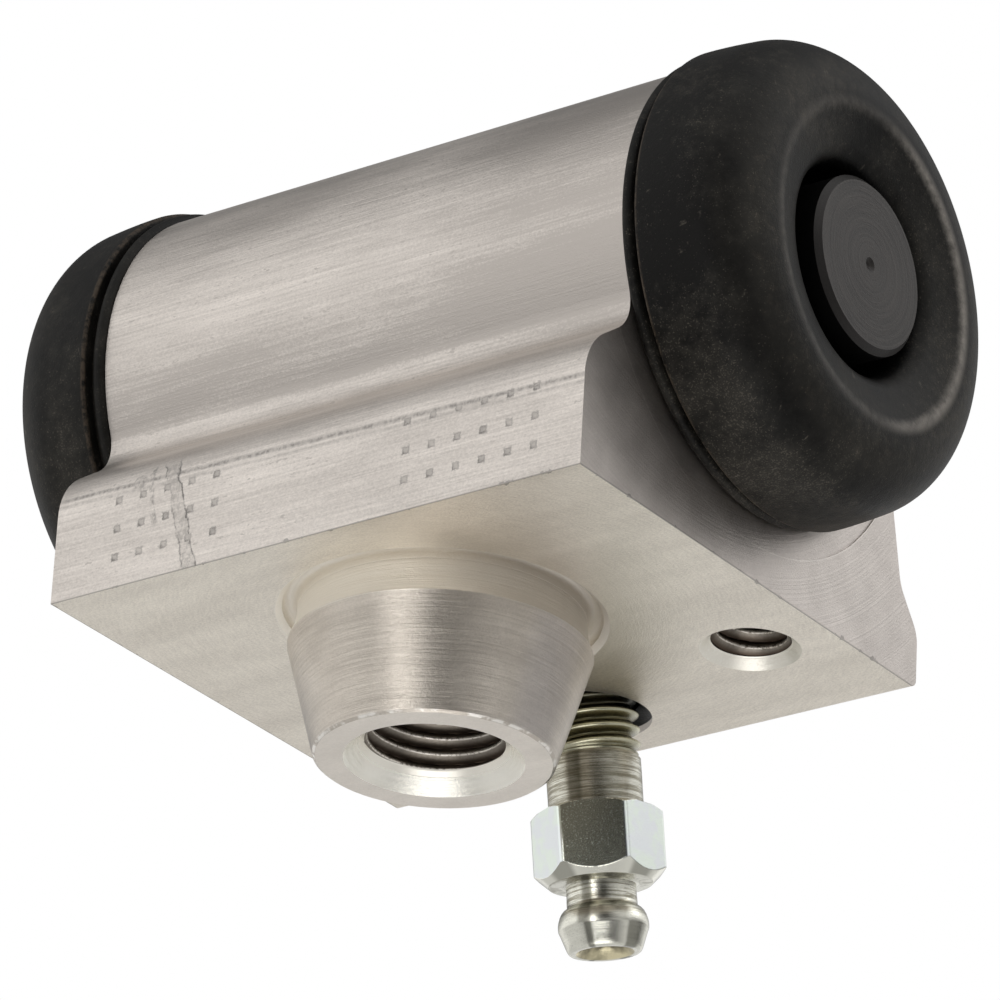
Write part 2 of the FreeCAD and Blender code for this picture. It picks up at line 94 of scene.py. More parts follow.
class Nodes:
    # short ways to add nodes to one tree, so that a surface reads as a formula
    def __init__(self, tree):
        self.tree = tree

    def add(self, kind, *values, **settings):
        node = self.tree.nodes.new(kind)
        for key, value in settings.items():
            setattr(node, key, value)
        for socket, value in zip(node.inputs, values):
            self.feed(socket, value)
        return node

    def feed(self, socket, value):
        if isinstance(value, bpy.types.NodeSocket):
            self.tree.links.new(value, socket)
        else:
            socket.default_value = value

    def math(self, operation, *values):
        return self.add("ShaderNodeMath", *values, operation=operation).outputs[0]

    def times(self, a, b):
        return self.math("MULTIPLY", a, b)

    def plus(self, a, b):
        return self.math("ADD", a, b)

    def minus(self, a, b):
        return self.math("SUBTRACT", a, b)

    def ramp(self, value, low, high, start=0.0, end=1.0):
        # smooth step from start to end as value goes from low to high
        return self.add("ShaderNodeMapRange", value, low, high, start, end,
                        interpolation_type="SMOOTHSTEP").outputs[0]

    def band(self, value, low, high, soft):
        # one between low and high, zero outside, with soft edges
        rise = self.ramp(value, low - soft, low + soft)
        return self.times(rise, self.ramp(value, high - soft, high + soft, 1.0, 0.0))

    def mixed(self, factor, a, b):
        # a where factor is 0, b where it is 1
        node = self.tree.nodes.new("ShaderNodeMix")
        node.data_type = "RGBA"
        self.feed(node.inputs[0], factor)
        for socket, value in ((node.inputs[6], a), (node.inputs[7], b)):
            self.feed(socket, (*value, 1) if isinstance(value, tuple) else value)
        return node.outputs[2]

    def total(self, *pairs):
        # sum of value times weight
        out = 0.0
        for value, weight in pairs:
            out = self.plus(self.times(value, weight), out)
        return out


class Shade(Nodes):
    # the nodes of one material: x, y, z are millimetres in the part's frame, or of the mesh's own attribute
    # when one is named, and nx, ny, nz say which way the surface faces
    def __init__(self, name, restAttribute=None):
        self.material = bpy.data.materials.new(name)
        self.material.use_nodes = True
        super().__init__(self.material.node_tree)
        self.surface = self.tree.nodes["Principled BSDF"]
        place = self.add("ShaderNodeTexCoord")
        self.object = place.outputs["Object"]
        if restAttribute:
            self.object = self.add("ShaderNodeAttribute", attribute_name=restAttribute).outputs["Vector"]
        parts = self.add("ShaderNodeSeparateXYZ", self.scaled(self.object, (1000, 1000, 1000)))
        self.x, self.y, self.z = parts.outputs
        facing = self.add("ShaderNodeSeparateXYZ", place.outputs["Normal"])
        self.nx, self.ny, self.nz = facing.outputs

    def scaled(self, vector, scale, move=(0, 0, 0)):
        node = self.tree.nodes.new("ShaderNodeMapping")
        self.tree.links.new(vector, node.inputs["Vector"])
        node.inputs["Scale"].default_value = scale
        node.inputs["Location"].default_value = move
        return node.outputs[0]

    def noise(self, scale, stretch, detail, rough, move=(0, 0, 0)):
        # noise with scale in bumps per millimetre, stretched along the axes
        where = self.scaled(self.object, tuple(1000 * s for s in stretch), move)
        return self.noiseOf(where, scale, detail, rough)

    def noiseOf(self, vector, scale, detail, rough):
        # the same noise of any vector in millimetres
        node = self.tree.nodes.new("ShaderNodeTexNoise")
        self.tree.links.new(vector, node.inputs["Vector"])
        node.inputs["Scale"].default_value = scale
        node.inputs["Detail"].default_value = detail
        node.inputs["Roughness"].default_value = rough
        return node.outputs["Fac"]

    def joined(self, x, y, z):
        return self.add("ShaderNodeCombineXYZ", x, y, z).outputs[0]

    def radius(self, a, b, centreA=0.0, centreB=0.0):
        # distance of the point (a, b) from a centre
        a = self.minus(a, centreA)
        b = self.minus(b, centreB)
        return self.math("SQRT", self.plus(self.times(a, a), self.times(b, b)))

    def marks(self, scale, stretch, low, high, where, rare):
        # scattered marks: peaks of a noise, kept where another value is high
        peaks = self.ramp(self.noise(scale, stretch, 2.0, 0.6, (3, 1, 2)), low, high)
        return self.times(peaks, self.ramp(where, rare, rare + 0.1))

    def bump(self, height, depth):
        # height of 0 to 1, where 1 stands depth millimetres out
        node = self.add("ShaderNodeBump")
        node.inputs["Strength"].default_value = 1.0
        node.inputs["Distance"].default_value = depth * mm
        self.feed(node.inputs["Height"], height)
        return node.outputs[0]

    def finish(self, color, roughness, metallic, normal):
        for key, value in (("Base Color", color), ("Roughness", roughness), ("Metallic", metallic),
                           ("Normal", normal)):
            self.feed(self.surface.inputs[key], value)
        return self.material


def dress(obj, material):
    obj.data.materials.clear()
    obj.data.materials.append(material)


# marks on the front, in millimetres: two fields of square dents, two smears, a blot and a seam
frontMarks = dict(dotPitchX=1.81, dotPitchZ=1.85, dotLowZ=1.98, dotRows=3, dotSize=0.52, leftDotX=-14.38,
                  leftColumns=5, rightDotX=6.64, rightColumns=6, wideX=-8.70, wideLean=0.274, slimX=-11.15,
                  slimLean=0.13, blotX=-12.9, blotZ=6.55, seamZ=6.15, seamLean=-0.028)


def dotField(s, firstX, columns, rough):
    # strength = 1 near a grid point, by the larger of the distances along x and z, with a ragged edge,
    # times a random share for each dent, more along its rim and in its lower left corner as painted shade
    look = frontMarks
    u = s.times(s.minus(s.x, firstX), 1 / look["dotPitchX"])
    v = s.times(s.minus(s.z, look["dotLowZ"]), 1 / look["dotPitchZ"])
    inside = s.times(s.band(u, -0.5, columns - 0.5, 0.01), s.band(v, -0.5, look["dotRows"] - 0.5, 0.01))
    column, row = s.math("ROUND", u), s.math("ROUND", v)
    chance = s.add("ShaderNodeTexWhiteNoise", s.joined(column, row, firstX), noise_dimensions="3D")
    du = s.times(s.math("ABSOLUTE", s.minus(u, column)), look["dotPitchX"])
    dv = s.times(s.math("ABSOLUTE", s.minus(v, row)), look["dotPitchZ"])
    near = s.plus(s.math("MAXIMUM", du, dv), s.times(rough, 0.3))
    half = look["dotSize"] / 2
    shade = s.times(s.ramp(near, half + 0.04, half - 0.06), s.total((rough, 1.6), (1.0, 0.80)))
    rim = s.ramp(near, half - 0.16, half - 0.04)
    corner = s.ramp(s.plus(s.minus(column, u), s.minus(row, v)), 0.0, 0.22)
    share = s.total((chance.outputs["Value"], 0.35), (corner, 0.45), (rim, 0.35), (1.0, 0.40))
    return s.times(s.times(shade, inside), share)


def frontStains(s, wander, mottle):
    # a smear is a band of x + lean * z, darker along its edges; the blot is a disk; the seam is two grey
    # lines of z, the upper one stronger. wander bends them all, and mottle breaks them up
    look = frontMarks
    wide = s.plus(s.plus(s.x, s.times(s.z, look["wideLean"])), s.minus(wander, look["wideX"]))
    slim = s.plus(s.plus(s.x, s.times(s.z, look["slimLean"])), s.minus(wander, look["slimX"]))
    wideBody = s.times(s.band(wide, -0.5, 0.5, 0.08), s.plus(0.12, s.times(mottle, 0.55)))
    wideEdge = s.plus(s.band(wide, 0.40, 0.52, 0.06), s.times(s.band(wide, -0.54, -0.46, 0.05), 0.7))
    slimBody = s.times(s.times(s.band(slim, -0.2, 0.2, 0.1), s.ramp(s.z, 3.0, 3.9)), mottle)
    blot = s.ramp(s.radius(s.plus(s.x, wander), s.z, look["blotX"], look["blotZ"]), 0.62, 0.42)
    smear = s.total((wideBody, 0.75), (s.times(wideEdge, s.plus(mottle, 0.45)), 0.85), (slimBody, 0.7),
                    (s.times(blot, s.plus(mottle, 0.3)), 0.5))
    above = s.minus(s.z, s.total((s.x, look["seamLean"]), (wander, 0.15), (1.0, look["seamZ"])))
    seam = s.plus(s.band(above, -0.12, 0.14, 0.12), s.times(s.band(above, -0.54, -0.34, 0.12), 0.5))
    return smear, seam


# bare aluminium: a dark and a light colour for each kind of surface, and where those surfaces are
bodyLook = dict(sideDark=(0.45, 0.413, 0.38), sideLight=(0.84, 0.78, 0.722), faceDark=(0.68, 0.625, 0.545),
                faceLight=(1.0, 0.94, 0.835), bossDark=(0.40, 0.358, 0.311), bossLight=(0.73, 0.668, 0.588),
                tipDark=(0.70, 0.645, 0.575), tipLight=(0.98, 0.915, 0.83), neckDark=(0.82, 0.755, 0.655),
                neckLight=(1.0, 0.96, 0.88), sinkDark=(0.85, 0.81, 0.72), sinkLight=(1.0, 0.98, 0.90),
                endDark=(0.47, 0.43, 0.40), endLight=(0.73, 0.676, 0.632), stain=(0.21, 0.198, 0.185),
                sootAndShade=(0.012, 0.011, 0.010), bright=(0.97, 0.93, 0.87), relief=0.042)
bodyPlaces = dict(frontY=-13.08, endX=19.0, seamTop=8.0, spotRadius=15.93, sawY=-14.0, sawZ=40.0,
                  neckInner=8.0, neckOuter=9.9, neckLow=-2.2, neckHigh=0.9, tipRadius=7.05, tipZ=-8.9,
                  inletSink=5.5, inletSinkZ=-8.0, inletRadius=4.5, inletLow=-8.15, inletHigh=1.7,
                  holeSink=3.12, holeSinkZ=0.60, portY=15.16, portRadius=3.75, portHigh=4.0)


def bodyAluminium():
    # tone = 0.95 marks + 0.95 cloud + 0.75 grain - 0.81, less nicks and lines; color = dark to light by tone
    # with the pair of its kind of surface, then painted shade, the neck, countersinks, wear, stains and holes
    # painted dark
    s = Shade("bodyAluminium")
    look, place = bodyLook, bodyPlaces
    reach = s.radius(s.x, s.y)
    boreReach = s.radius(s.y, s.z, boreY, boreZ)
    outX = s.math("ABSOLUTE", s.x)

    # kinds of surface, by height and by which way they face
    boss = s.ramp(s.z, -0.02, -0.1)
    notBoss = s.minus(1.0, boss)
    down = s.ramp(s.nz, -0.9, -0.97)
    tip = s.times(down, boss)
    under = s.times(down, notBoss)
    notUnder = s.minus(1.0, under)
    ends = s.ramp(s.math("ABSOLUTE", s.nx), 0.9, 0.97)
    sides = s.math("MAXIMUM", s.minus(s.minus(notUnder, ends), boss), 0.0)
    strip = s.times(s.times(sides, s.ramp(s.ny, -0.8, -0.9)), s.ramp(s.z, 7.8, 7.2))

    # one fine noise runs along the tool marks: along x on the sides, in rings about the boss's axis on
    # the face and the boss, and in wide arcs on the ends
    sawn = s.radius(s.y, s.z, place["sawY"], place["sawZ"])
    drawnWay = s.joined(s.times(s.x, 0.02), s.y, s.z)
    faceWay = s.joined(reach, s.times(s.x, 0.15), s.times(s.y, 0.15))
    bossWay = s.joined(s.times(s.x, 0.025), s.times(s.y, 0.025), s.z)
    endWay = s.joined(s.plus(s.times(boreReach, 0.5), s.times(sawn, 0.5)), 0.0, 0.0)
    way = s.mixed(under, s.mixed(boss, s.mixed(ends, drawnWay, endWay), bossWay), faceWay)
    marks = s.noiseOf(way, 6.2, 4.0, 0.7)
    grain = s.noise(8.0, (0.75, 1, 1), 3.0, 0.75)
    cloud = s.noise(0.42, (0.22, 1, 1), 3.0, 0.6, (5, 2, 8))
    wander = s.noise(0.9, (1, 1, 1), 3.0, 0.6)
    rough = s.minus(grain, 0.5)
    nicks = s.times(s.marks(4.5, (0.35, 1, 1), 0.63, 0.70, cloud, 0.50), s.ramp(s.z, 0.9, 1.1))
    lines = s.times(s.ramp(marks, 0.58, 0.64), s.ramp(cloud, 0.50, 0.42))
    drawn = s.total((marks, 0.30), (grain, 0.35), (nicks, -0.55), (lines, -0.25), (1.0, -0.325))
    tone = s.total((marks, 0.95), (cloud, 0.95), (grain, 0.75), (s.times(sides, drawn), 1.0),
                   (s.times(under, rough), 1.0), (1.0, -0.81))
    # painted shade: darker where the sides face down under the shoulders, and at the top right
    rightPart = s.times(s.ramp(s.x, 2.0, 12.0), s.ramp(s.z, 10.0, 12.0))
    tone = s.minus(tone, s.times(sides, s.total((s.ramp(s.nz, -0.02, -0.25), 0.40), (rightPart, 0.35))))
    tone = s.math("MAXIMUM", tone, s.plus(s.times(boss, 0.22), 0.10))

    color = s.mixed(tone, look["sideDark"], look["sideLight"])
    for part, kind in ((under, "face"), (boss, "boss"), (ends, "end")):
        color = s.mixed(part, color, s.mixed(tone, look[kind + "Dark"], look[kind + "Light"]))
    # the neck round the boss, lightest deep on its left, with painted shade darkening it towards the recess and
    # on its right
    neck = s.times(s.times(s.band(s.z, place["neckLow"], place["neckHigh"], 0.12),
                           s.ramp(reach, place["neckOuter"], place["neckOuter"] - 0.1)),
                   s.ramp(reach, place["neckInner"], place["neckInner"] + 0.3))
    neckShadeAndMarks = s.total((s.ramp(s.z, 1.2, -1.0), 0.55), (s.ramp(s.x, 7.0, -2.0), 0.45),
                       (s.minus(marks, 0.5), 0.8))
    neckColor = s.mixed(neckShadeAndMarks, look["neckDark"], look["neckLight"])
    neckColor = s.mixed(s.times(s.ramp(s.x, 3.5, 9.0), 0.5), neckColor, look["bossDark"])
    color = s.mixed(neck, color, neckColor)
    color = s.mixed(tip, color, s.mixed(tone, look["tipDark"], look["tipLight"]))
    # bright countersinks of the inlet and the screw holes
    sloped = s.ramp(s.nz, -0.3, -0.5)
    inletSink = s.times(s.ramp(reach, place["inletSink"], place["inletSink"] - 0.1),
                        s.ramp(s.z, place["inletSinkZ"] + 0.5, place["inletSinkZ"]))
    holeReach = s.radius(outX, s.y, screwX, screwY)
    holeSink = s.times(s.ramp(holeReach, place["holeSink"], place["holeSink"] - 0.06),
                       s.ramp(s.z, place["holeSinkZ"], place["holeSinkZ"] - 0.06))
    inletSink = s.times(inletSink, s.minus(1.0, tip))
    sink = s.times(sloped, s.math("MAXIMUM", inletSink, s.times(holeSink, notUnder)))
    color = s.mixed(sink, color, s.mixed(tone, look["sinkDark"], look["sinkLight"]))
    # painted shade darkens the face beside the boss; thin bright lines mark the spot faces and the boss's tip
    shaded = s.times(s.times(under, s.ramp(reach, 16.0, 10.5)), s.ramp(s.x, 0.0, 7.0))
    color = s.mixed(s.times(shaded, 0.45), color, look["bossLight"])
    # painted highlight along the edge of each spot face's step
    spotLine = s.band(boreReach, place["spotRadius"] - 0.03, place["spotRadius"] + 0.03, 0.03)
    color = s.mixed(s.times(s.times(spotLine, ends), 0.35), color, look["bright"])
    tipEdge = s.times(s.band(reach, place["tipRadius"] - 0.10, place["tipRadius"] + 0.06, 0.05),
                      s.ramp(s.z, place["tipZ"] + 0.2, place["tipZ"]))
    color = s.mixed(s.times(tipEdge, s.ramp(wander, 0.46, 0.60)), color, look["bright"])

    # worn arrises: a thin dark line with a few nicks where the mounting face meets the front and the ends
    ragged = s.total((s.ramp(wander, 0.56, 0.74), 0.22), (grain, 0.07), (1.0, 0.045))
    inner = s.minus(ragged, 0.05)
    edge = s.math("MINIMUM", s.minus(s.y, place["frontY"]), s.minus(place["endX"], outX))
    onFace = s.times(s.ramp(edge, ragged, inner), under)
    onWall = s.times(s.ramp(s.z, ragged, inner), s.times(s.ramp(edge, 0.5, 0.4), notUnder))
    worn = s.times(s.math("MAXIMUM", onFace, onWall), notBoss)
    color = s.mixed(s.times(worn, 0.6), color, look["stain"])

    # dents, smears and the seam on the front
    spots = frontMarks
    drift = s.times(s.minus(wander, 0.5), 0.9)
    mottle = s.ramp(s.noise(3.2, (1, 1, 0.6), 3.0, 0.7), 0.40, 0.64)
    dents = s.plus(dotField(s, spots["leftDotX"], spots["leftColumns"], rough),
                   dotField(s, spots["rightDotX"], spots["rightColumns"], rough))
    smear, seam = frontStains(s, drift, mottle)
    seamPart = s.times(s.ramp(s.z, place["seamTop"], place["seamTop"] - 0.6), s.ramp(s.y, -9.0, -10.0))
    seam = s.times(s.times(seam, s.times(seamPart, sides)), s.total((mottle, 0.6), (marks, 0.6), (1.0, 0.15)))
    marked = s.times(strip, s.math("MAXIMUM", s.times(dents, 0.85), s.times(smear, 0.90)))
    color = s.mixed(s.math("MAXIMUM", marked, s.times(seam, 0.75)), color, look["stain"])

    # painted shade: the inlet's wall and the bleeder port's mouth are near black
    inlet = s.times(s.ramp(reach, place["inletRadius"] + 0.15, place["inletRadius"]),
                    s.band(s.z, place["inletLow"], place["inletHigh"], 0.05))
    portReach = s.radius(s.x, s.y, 0.0, place["portY"])
    port = s.times(s.ramp(portReach, place["portRadius"] + 0.03, place["portRadius"]),
                   s.band(s.z, 0.01, place["portHigh"], 0.01))
    color = s.mixed(s.math("MAXIMUM", inlet, port), color, look["sootAndShade"])

    height = s.total((marks, 0.50), (grain, 0.45), (s.times(boss, marks), 0.45))
    roughness = s.total((tone, 0.08), (boss, -0.11), (sink, -0.06), (1.0, 0.36))
    metallic = s.total((neck, -0.45), (sink, -0.22), (1.0, 1.0))
    return s.finish(color, roughness, metallic, s.bump(height, look["relief"]))


# rubber: near black and satin. Pairs are distances in millimetres over which a change comes in, of the
# radius about the bore's axis or of x outwards; lipX is counted from the lip's inner face
rubberLook = dict(dark=(0.0042, 0.0038, 0.0032), pale=(0.0300, 0.0278, 0.0235), dust=(0.17, 0.150, 0.122),
                  brown=(0.060, 0.045, 0.032), throat=(0.0015, 0.0015, 0.0015), ridge=(0.34, 0.310, 0.275),
                  wallRadius=(13.2, 14.2), wallX=(26.0, 24.0), foldRadius=(10.6, 12.6), foldX=(24.5, 25.5),
                  ridgeRadius=(9.45, 10.05), throatRadius=(6.9, 6.5), throatX=(26.2, 25.6),
                  lipRadius=(14.2, 14.35), lipX=(-0.08, 0.22), shine=0.13, relief=0.020)


def bootRubber():
    # tone = 1.7 cloud + 0.7 weave + 0.45 low wall (painted sheen) - 0.3 wall + 0.3 fold - 0.9, less at the top
    # (painted shade) and more on the left boot; color = dark to pale by tone, then the ridge's painted
    # highlight, brown fold, the throat's painted shade and dust
    s = Shade("bootRubber", "rest")
    look = rubberLook
    reach = s.radius(s.y, s.z, boreY, boreZ)
    out = s.math("ABSOLUTE", s.x)
    cloud = s.noise(0.20, (1, 1, 1), 4.0, 0.6)
    weave = s.noise(1.6, (1, 1, 1), 5.0, 0.7, (3, 0, 6))
    wander = s.minus(weave, 0.5)
    wall = s.times(s.ramp(s.plus(reach, wander), *look["wallRadius"]), s.ramp(out, *look["wallX"]))
    low = s.ramp(s.z, 13.0, 4.0)
    fold = s.times(s.band(s.plus(reach, wander), *look["foldRadius"], 0.5), s.ramp(out, *look["foldX"]))
    # painted highlight: a pale band along the crown's ridge, stronger towards +y
    ridge = s.times(s.band(s.plus(reach, s.times(wander, 0.3)), *look["ridgeRadius"], 0.35),
                    s.ramp(s.y, 3.5, 10.0, 0.22, 1.0))
    # painted sheen low on the wall, and painted shade towards the top
    tone = s.total((cloud, 1.7), (weave, 0.7), (s.times(wall, low), 0.45), (wall, -0.30), (fold, 0.30),
                   (s.ramp(s.z, 24.0, 31.0), -0.40), (s.ramp(s.x, 1.0, -1.0), 0.25), (1.0, -0.90))
    color = s.mixed(s.math("MAXIMUM", tone, 0.0), look["dark"], look["pale"])
    color = s.mixed(s.times(ridge, s.total((weave, 1.2), (1.0, -0.05))), color, look["ridge"])
    color = s.mixed(s.times(s.times(fold, s.ramp(weave, 0.50, 0.70)), 0.18), color, look["brown"])
    # painted shade: the throat near black
    throat = s.times(s.ramp(reach, *look["throatRadius"]), s.ramp(out, *look["throatX"]))
    color = s.mixed(throat, color, look["throat"])

    # dust: fine specks in drifts, thickest low on the wall, and a few short bright scratches
    drift = s.total((cloud, 0.6), (weave, 0.4), (s.times(wall, low), 0.16))
    rare = s.times(drift, -0.60)
    specks = s.ramp(s.noise(9.5, (1, 1, 1), 1.5, 0.5, (1, 5, 2)), s.plus(rare, 0.94), s.plus(rare, 1.06))
    scratch = s.marks(2.2, (0.2, 1, 0.35), 0.66, 0.72, weave, 0.50)
    haze = s.ramp(drift, 0.50, 0.72)
    dust = s.math("MINIMUM", s.total((specks, 0.28), (scratch, 0.30), (haze, 0.07)), 1.0)
    color = s.mixed(dust, color, look["dust"])

    # flash: a brown ragged line round the lip
    lipLow, lipHigh = (boot["lip"] + x for x in look["lipX"])
    lip = s.band(s.plus(out, s.times(wander, 0.5)), lipLow, lipHigh, 0.06)
    lip = s.times(s.times(lip, s.ramp(reach, *look["lipRadius"])), s.ramp(weave, 0.38, 0.6))
    color = s.mixed(lip, color, look["brown"])
    height = s.total((s.noise(8.0, (1, 1, 1), 3.0, 0.7), 0.9), (weave, 1.6))
    rough = s.total((cloud, 0.16), (specks, 0.2), (1.0, 0.40))
    s.surface.inputs["Specular IOR Level"].default_value = look["shine"]
    return s.finish(color, rough, 0.0, s.bump(height, look["relief"]))


# dark anodised, with painted shade making it nearest to black on the nose's side and chamfer
pistonLook = dict(faceDark=(0.008, 0.0069, 0.0062), facePale=(0.046, 0.0392, 0.0345),
                  sideDark=(0.006, 0.0056, 0.0053), sidePale=(0.022, 0.020, 0.019),
                  dimple=(0.010, 0.009, 0.0085), noseRadius=(6.2, 5.9), dimpleRadius=(0.5, 0.35),
                  roughness=0.42, metallic=0.55, relief=0.02)


def pistonDark():
    # tone = 1.9 turned rings + 0.8 fine noise - 0.85; color = dark to pale by tone on the face, and as painted
    # shade by how far it slopes on the nose's side, with a darker dimple in the middle
    s = Shade("pistonDark")
    look = pistonLook
    reach = s.radius(s.y, s.z, boreY, boreZ)
    rings = s.noiseOf(s.joined(reach, s.times(s.y, 0.05), 0.0), 4.5, 4.0, 0.8)
    slope = s.math("ABSOLUTE", s.nx)
    face = s.ramp(slope, 0.9, 0.97)
    fine = s.noise(6.0, (1, 1, 1), 4.0, 0.7)
    tone = s.total((rings, 1.9), (fine, 0.8), (1.0, -0.85))
    color = s.mixed(tone, look["faceDark"], look["facePale"])
    nose = s.times(s.ramp(reach, *look["noseRadius"]), s.ramp(slope, 0.92, 0.6))
    color = s.mixed(nose, color, s.mixed(s.ramp(slope, 0.3, 0.6), look["sideDark"], look["sidePale"]))
    color = s.mixed(s.times(s.ramp(reach, *look["dimpleRadius"]), face), color, look["dimple"])
    height = s.total((s.times(rings, face), 1.0), (fine, 0.5))
    return s.finish(color, look["roughness"], look["metallic"], s.bump(height, look["relief"]))


# zinc plate: greenish to bluish on the flats, silver to olive where it is turned. Pairs are distances along
# the screw, or from its axis. A band of painted reflection is (from, to, softness, strength), across the axis
# from -1 to 1
screwLook = dict(green=(0.85, 0.92, 0.84), blue=(0.84, 0.87, 0.88), silver=(0.82, 0.81, 0.72),
                 turned=(0.33, 0.31, 0.24), thread=(0.54, 0.52, 0.38), root=(0.15, 0.14, 0.085),
                 olive=(0.32, 0.325, 0.27), gold=(0.80, 0.72, 0.48), sootAndShade=(0.05, 0.046, 0.035),
                 shade=(0.10, 0.097, 0.07), threadStart=(3.1, 2.85), threadRadius=(2.45, 2.95),
                 chamferStart=(9.0, 9.3), coneStart=(13.45, 13.6), mouthStart=(13.8, 14.0),
                 mouthRadius=(1.80, 1.72), portEnd=(0.75, 0.1), relief=0.012,
                 stemBands=((-0.60, -0.33, 0.05, 1.0), (-0.12, 0.50, 0.08, 0.6)),
                 coneBands=((-0.48, -0.32, 0.04, 1.0), (0.52, 0.84, 0.05, 1.0)),
                 sideBands=((-0.85, -0.50, 0.06, 1.0), (0.50, 0.85, 0.06, 1.0)))


def zincPlate():
    # color = silver to turned by fine rings along the axis, and green to blue by a cloud on the flats; then
    # painted reflections in dark bands, a painted highlight on the crests over painted shade in the roots, an
    # olive front flat in painted shade, specks, a gold mouth with painted shade deeper in, and darker at the
    # port
    s = Shade("zincPlate")
    look = screwLook
    axisY, axisZ = float(screwAxis[1]), float(screwAxis[2])
    fromY = s.minus(s.y, float(screwPlace[1]))
    along = s.total((fromY, axisY), (s.z, axisZ))
    across = s.total((fromY, axisZ), (s.z, -axisY))
    reach = s.radius(s.x, across)
    lean = s.math("ABSOLUTE", s.total((s.ny, axisY), (s.nz, axisZ)))
    rings = s.noiseOf(s.joined(s.times(s.x, 0.03), s.times(s.y, 0.03), along), 7.0, 4.0, 0.85)
    grain = s.noise(11.0, (1, 1, 1), 3.0, 0.75)
    cloud = s.noise(0.7, (1, 1, 1), 3.0, 0.6)
    hexagon = s.band(along, screw["hexStart"], screw["collarEnd"], 0.02)
    flats = s.times(hexagon, s.ramp(lean, 0.3, 0.2))
    turnedPart = s.minus(1.0, hexagon)
    lines = s.times(turnedPart, s.ramp(rings, s.ramp(along, 6.0, 11.0, 0.36, 0.44), 0.58))
    lines = s.times(lines, s.ramp(along, 13.2, 12.4, 0.12, 1.0))
    color = s.mixed(lines, look["silver"], look["turned"])
    color = s.mixed(flats, color, s.mixed(s.ramp(cloud, 0.38, 0.62), look["green"], look["blue"]))

    # painted reflections: dark bands along the axis, as a turned bar mirrors the dark and the bright parts of a
    # room
    aside = s.math("DIVIDE", s.total((s.x, 0.80), (across, -0.60)), reach)
    stemBands, coneBands, sideBands = (
        s.total(*((s.band(aside, low, high, soft), strength) for low, high, soft, strength in look[name]))
        for name in ("stemBands", "coneBands", "sideBands"))
    cone = s.ramp(along, *look["coneStart"])
    stem = s.times(turnedPart, s.minus(1.0, cone))
    chamfer = s.times(s.times(hexagon, s.minus(1.0, flats)), s.ramp(along, *look["chamferStart"]))
    dark = s.total((s.times(stem, stemBands), 0.60), (s.times(cone, coneBands), 0.70),
                   (s.times(chamfer, sideBands), 0.55))
    color = s.mixed(dark, color, look["shade"])

    # painted highlight on the crests, painted shade in the roots
    threadColor = s.mixed(s.ramp(reach, *look["threadRadius"]), look["root"], look["thread"])
    color = s.mixed(s.ramp(along, *look["threadStart"]), color, threadColor)
    # painted shade: the front flat darker, olive, with pale specks
    frontFlat = s.times(s.times(flats, s.ramp(s.ny, -0.80, -0.82)), s.ramp(s.nx, 0.3, 0.35))
    speck = s.ramp(grain, 0.56, 0.66)
    color = s.mixed(frontFlat, color, s.mixed(speck, look["olive"], look["green"]))
    color = s.mixed(s.times(s.times(speck, turnedPart), 0.3), color, look["sootAndShade"])
    # gold inside the mouth, mottled dark with painted shade deeper in, and darker where the screw goes into the
    # port
    mouth = s.times(s.ramp(along, *look["mouthStart"]), s.ramp(reach, *look["mouthRadius"]))
    gilt = s.total((s.ramp(reach, 1.1, 1.7), 0.7), (cloud, 2.4), (1.0, -1.1))
    color = s.mixed(mouth, color, s.mixed(gilt, look["sootAndShade"], look["gold"]))
    color = s.mixed(s.times(s.ramp(along, *look["portEnd"]), 0.85), color, look["sootAndShade"])
    height = s.total((s.times(rings, turnedPart), 0.75), (grain, 0.45))
    rough = s.total((turnedPart, 0.10), (frontFlat, 0.08), (1.0, 0.15))
    return s.finish(color, rough, 1.0, s.bump(height, look["relief"]))


# tapped holes: the wall's radius and the thread's depth, pitch, low and high ends, where its tooth starts
# round the hole, and how far a cone carries the countersink on
inletHole = dict(centre=(0, 0), wall=4.46, depth=0.50, pitch=1.0, low=-8.20, high=1.2, start=0.50, lead=0.35,
                 columns=200)
screwHole = dict(centre=(screwX, screwY), wall=2.5, depth=0.38, pitch=1.0, low=0.54, high=7.4, start=0.24,
                 lead=0.1, columns=120)
threadLook = dict(root=(0.080, 0.058, 0.042), flank=(0.30, 0.27, 0.23), crest=(0.85, 0.80, 0.72),
                  lead=(0.92, 0.88, 0.79), roughness=0.34, metallic=0.80, relief=0.01)


def threadSteel(name, hole):
    # color = brown roots, darkened as painted shade, to grey flanks to thin bright crests, a painted highlight,
    # by distance from the hole's axis, and bright like the countersink on the cone that leads in
    s = Shade(name)
    look, wall, depth = threadLook, hole["wall"], hole["depth"]
    reach = s.radius(s.math("ABSOLUTE", s.x), s.y, *hole["centre"])
    fine = s.noise(5.0, (1, 1, 1), 3.0, 0.6)
    flank = s.ramp(reach, wall - 0.05, wall - depth)
    color = s.mixed(s.times(flank, s.plus(fine, 0.3)), look["root"], look["flank"])
    crest = s.ramp(reach, wall - depth * 0.84, wall - depth * 0.96)
    color = s.mixed(s.times(crest, s.ramp(fine, 0.30, 0.55)), color, look["crest"])
    leadEnd = hole["low"] + hole["lead"]
    lead = s.ramp(s.z, leadEnd + 0.01, leadEnd - 0.01)
    color = s.mixed(lead, color, look["lead"])
    metallic = s.total((lead, -0.02), (1.0, look["metallic"]))
    return s.finish(color, look["roughness"], metallic, s.bump(fine, look["relief"]))


# what is hidden inside: steel and rubber without marks
hiddenLook = dict(spring=(0.45, 0.45, 0.46), expander=(0.55, 0.55, 0.56), metalRoughness=0.35,
                  sealDark=(0.018, 0.018, 0.019), sealPale=(0.032, 0.032, 0.033), sealRoughness=0.5)


